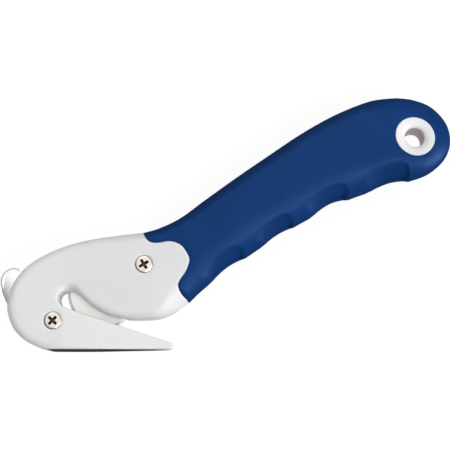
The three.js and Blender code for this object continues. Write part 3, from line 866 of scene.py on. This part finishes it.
def screw(name, centre, turn):
    """A cross-recess pan head that stands in its counterbore."""
    face = float(half_thickness(np.array([centre[0]]), np.array([centre[1]]))[0])
    crown, edge = face + SCREW_CROWN, face - SCREW_CROWN
    rim_loop = circle(centre, SCREW_HEAD, 64)
    cross = cross_loop(*CROSS, turn, centre)
    rings = ((3.32, 64), (3.2, 64), (3.0, 48), (2.7, 48), (2.3, 40), (1.8, 32), (1.2, 24))
    free = np.concatenate([circle(centre, radius, count) for radius, count in rings])
    free = free[~inside(free, cross_loop(CROSS[0] + 0.07, CROSS[1] + 0.13, turn, centre))]
    flat, triangles = tile(rim_loop, [cross], free)
    share = np.hypot(*(flat - centre).T) / SCREW_HEAD
    height = edge + (crown - edge) * np.sqrt(np.clip(1 - share**5, 0, 1))
    vertices = [(*p, z) for p, z in zip(flat, height)]

    def add_row(loop, z):
        vertices.extend((*p, z) for p in loop)
        return list(range(len(vertices) - len(loop), len(vertices)))

    rows = [nearest_vertices(flat, cross)]
    for length, width, down in ((2.05, 1.1, 0.12), (1.5, 0.8, 0.9), (0.7, 0.45, 1.5)):
        rows.append(add_row(cross_loop(length, width, turn, centre), crown - down))
    recess = [f for upper, lower in zip(rows, rows[1:]) for f in joined(lower, upper)]
    recess.append(tuple(rows[-1]))
    foot = add_row(rim_loop, face - SCREW_DEPTH)
    side = joined(foot, nearest_vertices(flat, rim_loop)) + [tuple(reversed(foot))]
    head = [tuple(t) for t in triangles]
    obj = make_mesh(name, vertices, head + recess + side, NICKEL)
    # The recess faces get the painted-shade dark metal.
    obj.data.materials.append(RECESS_PAINTED_SHADE)
    for polygon in list(obj.data.polygons)[len(head) : len(head) + len(recess)]:
        polygon.material_index = 1
    return obj


blade = round_blade()
splitter = plate("tape_splitter_fin", splitter_loop(), SPLITTER_HALF, 0.35, SPLITTER)
nose_screw = screw("screw_nose", NOSE_SCREW, math.radians(47))
back_screw = screw("screw_back", BACK_SCREW, math.radians(32))

# ------------------------------------------------------------------ bodies and nodes; each piece's slot is only listed

PIECES = [
    (front_head, ["front_shell"], "white_plastic"),
    (rear_head, ["rear_shell"], "white_plastic"),
    (front_eye, ["front_shell"], "white_plastic"),
    (rear_eye, ["rear_shell"], "white_plastic"),
    (front_grip, ["front_grip"], "blue_grip"),
    (rear_grip, ["rear_grip"], "blue_grip"),
    (splitter, ["tape_splitter"], "splitter_steel"),
    (nose_screw, ["nose_screw"], "screw_nickel"),
    (back_screw, ["back_screw"], "screw_nickel"),
]
for piece, nodes, slot in PIECES:
    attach(piece, "knife")
    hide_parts(*nodes)
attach(blade, "blade")
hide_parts("round_blade")

for node, material in {
    "blade_hub": NYLON,
    "front_blade_washer": NYLON,
    "rear_blade_washer": NYLON,
    "nose_insert": BRASS,
    "back_insert": BRASS,
}.items():
    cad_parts[node].data.materials.clear()
    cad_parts[node].data.materials.append(material)

# ------------------------------------------------------------------ floor, light and camera


def glowing_white():
    """The lit opal white of a light table."""
    n = Nodes("pale_floor")
    n.feed("Base Color", n.ramp(n.noise(3, 2), [(0.3, (0.11, 0.11, 0.11)), (0.7, (0.12, 0.12, 0.12))]))
    n.set(Roughness=0.9, Emission_Color=(1, 1, 1, 1), Emission_Strength=0.9)
    return n.material


def stage_piece(name, vertices, faces, material):
    """A piece of the stage that no reflection shows."""
    mesh = bpy.data.meshes.new(name)
    mesh.from_pydata(vertices, [], faces)
    mesh.materials.append(material)
    obj = bpy.data.objects.new(name, mesh)
    obj.visible_glossy = False
    bpy.context.collection.objects.link(obj)
    return obj


def floor_and_wall(radius=3.0, height=3.0, sides=64):
    """A light table with a white wall far around it, which neither lights nor shades the knife."""
    white = glowing_white()
    angles = [2 * math.pi * i / sides for i in range(sides)]
    foot = [(radius * math.cos(a), radius * math.sin(a), 0) for a in angles]
    stage_piece("floor", foot, [tuple(range(sides))], white)
    around = [(i, (i + 1) % sides, (i + 1) % sides + sides, i + sides) for i in range(sides)]
    wall = stage_piece("wall", foot + [(x, y, height) for x, y, _ in foot], around, white)
    wall.visible_diffuse = False
    wall.visible_shadow = False


def studio(brightest, stops):
    """A soft dome: its brightest direction, and stops of how near a direction is to it and how bright."""
    world = bpy.data.worlds.new("studio")
    world.use_nodes = True
    tree = world.node_tree
    direction = tree.nodes.new("ShaderNodeTexCoord")
    towards = tree.nodes.new("ShaderNodeVectorMath")
    towards.operation = "DOT_PRODUCT"
    towards.inputs[1].default_value = brightest
    tree.links.new(direction.outputs["Generated"], towards.inputs[0])
    dome = tree.nodes.new("ShaderNodeValToRGB")
    while len(dome.color_ramp.elements) < len(stops):
        dome.color_ramp.elements.new(0.5)
    for element, (place, value) in zip(dome.color_ramp.elements, stops):
        element.position = place
        element.color = (value, value, value, 1)
    tree.links.new(towards.outputs["Value"], dome.inputs["Fac"])
    tree.links.new(dome.outputs["Color"], tree.nodes["Background"].inputs["Color"])
    bpy.context.scene.world = world


def area_light(name, place, target, size, power):
    """A softbox that looks at a target, in metres and watts."""
    data = bpy.data.lights.new(name, "AREA")
    data.shape = "RECTANGLE"
    data.size, data.size_y = size
    data.energy = power
    obj = bpy.data.objects.new(name, data)
    obj.location = place
    obj.rotation_euler = (Vector(target) - Vector(place)).to_track_quat("-Z", "Y").to_euler()
    bpy.context.collection.objects.link(obj)


def camera():
    """Looks down on the knife from the side of its sole, 80 degrees above the horizon."""
    distance, width, elevation = 0.45, 0.176, math.radians(79.7)
    middle = Vector((83.3, 49.2, 0))
    target = (DATUM + middle) * MM
    data = bpy.data.cameras.new("camera")
    data.sensor_width = 36
    data.lens = 36 * distance / width
    data.clip_start, data.clip_end = 0.01, 20
    obj = bpy.data.objects.new("camera", data)
    obj.location = target + distance * Vector((0, -math.cos(elevation), math.sin(elevation)))
    obj.rotation_euler = (target - obj.location).to_track_quat("-Z", "Y").to_euler()
    bpy.context.collection.objects.link(obj)
    bpy.context.scene.camera = obj


floor_and_wall()
area_light("right", (1.5, -0.45, 0.55), (0.05, 0, 0), (0.8, 0.7), 15)
area_light("front", (0.5, -0.7, 1.2), (0.05, 0, 0), (0.8, 0.4), 5.5)
area_light("back", (-0.3, 1.0, 0.9), (0, 0, 0), (1.0, 0.6), 2)
studio((0.1, 0.28, 0.954), ((0.0, 0.02), (0.6, 0.2), (0.9, 1.12)))
camera()
bpy.context.scene.view_settings.view_transform = "Standard"
